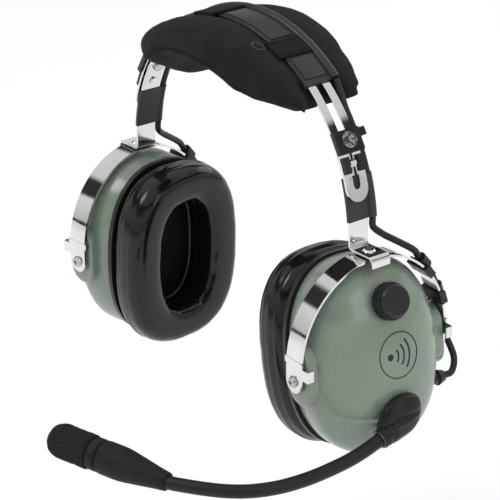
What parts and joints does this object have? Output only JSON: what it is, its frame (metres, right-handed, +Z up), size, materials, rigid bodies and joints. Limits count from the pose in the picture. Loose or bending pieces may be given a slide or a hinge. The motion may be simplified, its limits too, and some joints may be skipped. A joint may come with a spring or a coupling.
{
  "type": "aviation headset",
  "caption": "Aviation headset with a padded sliding headband, swivelling stirrups, tilting ear cups with oval seals, a volume knob and a boom microphone with a foam windscreen.",
  "frame": {"origin": "middle of the wearer's head, level with the tilt axes of the two ear cups", "axes": "+X to the wearer's left, the side with the boom; +Y to the back of the head; +Z up to the crown"},
  "size_m": [0.2592, 0.2019, 0.2172],
  "materials": {
    "spring_steel": "polished",
    "dark_steel": "satin",
    "pad_cloth": "matte cloth over foam",
    "label_vinyl": "satin vinyl",
    "strap_cloth": "matte woven strap",
    "cord_rubber": "satin",
    "black_plastic": "satin",
    "sleeve_rubber": "satin",
    "shell_green": "semi-gloss",
    "seal_vinyl": "gloss vinyl over foam",
    "foam_black": "open-cell foam",
    "driver_steel": "satin",
    "board_green": "solder-mask green",
    "knob_black": "satin, knurled",
    "boom_black": "satin",
    "windscreen_foam": "fine open-cell foam"
  },
  "bodies": {
    "headband": {"band_spring": "spring_steel", "head_pad": "pad_cloth", "band_sleeve": "label_vinyl", "pad_straps": "strap_cloth", "cord_top": "cord_rubber"},
    "left_arm": {"left_arm": "spring_steel", "left_clamp": "black_plastic", "left_clamp_screw": "dark_steel", "left_guide_stud": "spring_steel", "left_arm_sleeve": "sleeve_rubber", "left_swivel_rivet": "spring_steel", "left_cord_upper": "cord_rubber"},
    "left_stirrup": {"left_stirrup": "spring_steel", "left_cord_clips": "black_plastic", "left_cord_yoke": "cord_rubber"},
    "left_cup": {"left_dome": "shell_green", "left_pivot_screws": "dark_steel", "left_seal_flange": "black_plastic", "left_ear_seal": "seal_vinyl", "left_ear_foam": "foam_black", "left_baffle": "black_plastic", "left_driver": "driver_steel", "left_cord_grommet": "cord_rubber", "left_cord_loop": "cord_rubber", "gain_pot": "driver_steel", "mic_amplifier": "board_green", "comm_gland": "cord_rubber", "boom_pivot": "dark_steel"},
    "right_arm": {"right_arm": "spring_steel", "right_clamp": "black_plastic", "right_clamp_screw": "dark_steel", "right_guide_stud": "spring_steel", "right_arm_sleeve": "sleeve_rubber", "right_swivel_rivet": "spring_steel", "right_cord_upper": "cord_rubber"},
    "right_stirrup": {"right_stirrup": "spring_steel", "right_cord_clips": "black_plastic", "right_cord_yoke": "cord_rubber"},
    "right_cup": {"right_dome": "shell_green", "right_pivot_screws": "dark_steel", "right_seal_flange": "black_plastic", "right_ear_seal": "seal_vinyl", "right_ear_foam": "foam_black", "right_baffle": "black_plastic", "right_driver": "driver_steel", "right_cord_grommet": "cord_rubber", "right_cord_loop": "cord_rubber"},
    "volume_knob": {"volume_knob": "knob_black", "knob_shaft": "dark_steel"},
    "boom": {"boom_housing": "boom_black", "boom_collar": "boom_black", "boom_rear": "boom_black", "boom_flex": "boom_black"},
    "boom_tip": {"boom_front": "boom_black", "mic_body": "boom_black", "mic_band": "boom_black", "mic_windscreen": "windscreen_foam", "mic_element": "driver_steel"}
  },
  "joints": [
    {"name": "left_height", "type": "hinge", "parent": "headband", "child": "left_arm", "pos_m": [0, 0, 0.065], "axis": [0, 1, 0], "range_deg": [-7, 6], "deforming": ["left_cord_upper"]},
    {"name": "left_swivel", "type": "hinge", "parent": "left_arm", "child": "left_stirrup", "pos_m": [0.099, 0, 0.0595], "axis": [0, 0, 1], "range_deg": [-6, 18], "deforming": ["left_cord_yoke"]},
    {"name": "left_tilt", "type": "hinge", "parent": "left_stirrup", "child": "left_cup", "pos_m": [0.099, 0, 0], "axis": [0.0698, 0.9976, 0], "range_deg": [-5, 19], "deforming": ["left_cord_loop"]},
    {"name": "right_height", "type": "hinge", "parent": "headband", "child": "right_arm", "pos_m": [0, 0, 0.065], "axis": [0, -1, 0], "range_deg": [-7, 6], "deforming": ["right_cord_upper"]},
    {"name": "right_swivel", "type": "hinge", "parent": "right_arm", "child": "right_stirrup", "pos_m": [-0.099, 0, 0.0595], "axis": [0, 0, 1], "range_deg": [-15, 9], "deforming": ["right_cord_yoke"]},
    {"name": "right_tilt", "type": "hinge", "parent": "right_stirrup", "child": "right_cup", "pos_m": [-0.099, 0, 0], "axis": [-0.0872, 0.9962, 0], "range_deg": [-5, 22], "deforming": ["right_cord_loop"]},
    {"name": "volume_knob_turn", "type": "hinge", "parent": "left_cup", "child": "volume_knob", "pos_m": [0.113, -0.00098, 0.0373], "axis": [0.9249, -0.0647, 0.3746], "range_deg": [-135, 135]},
    {"name": "boom_turn", "type": "hinge", "parent": "left_cup", "child": "boom", "pos_m": [0.1245, -0.00178, -0.02088], "axis": [0.9976, -0.0698, 0], "range_deg": [-70, 60]},
    {"name": "boom_bend", "type": "hinge", "parent": "boom", "child": "boom_tip", "pos_m": [0.12527, -0.08103, -0.03488], "axis": [0, 0, 1], "range_deg": [-15, 15], "deforming": ["boom_flex"]}
  ]
}
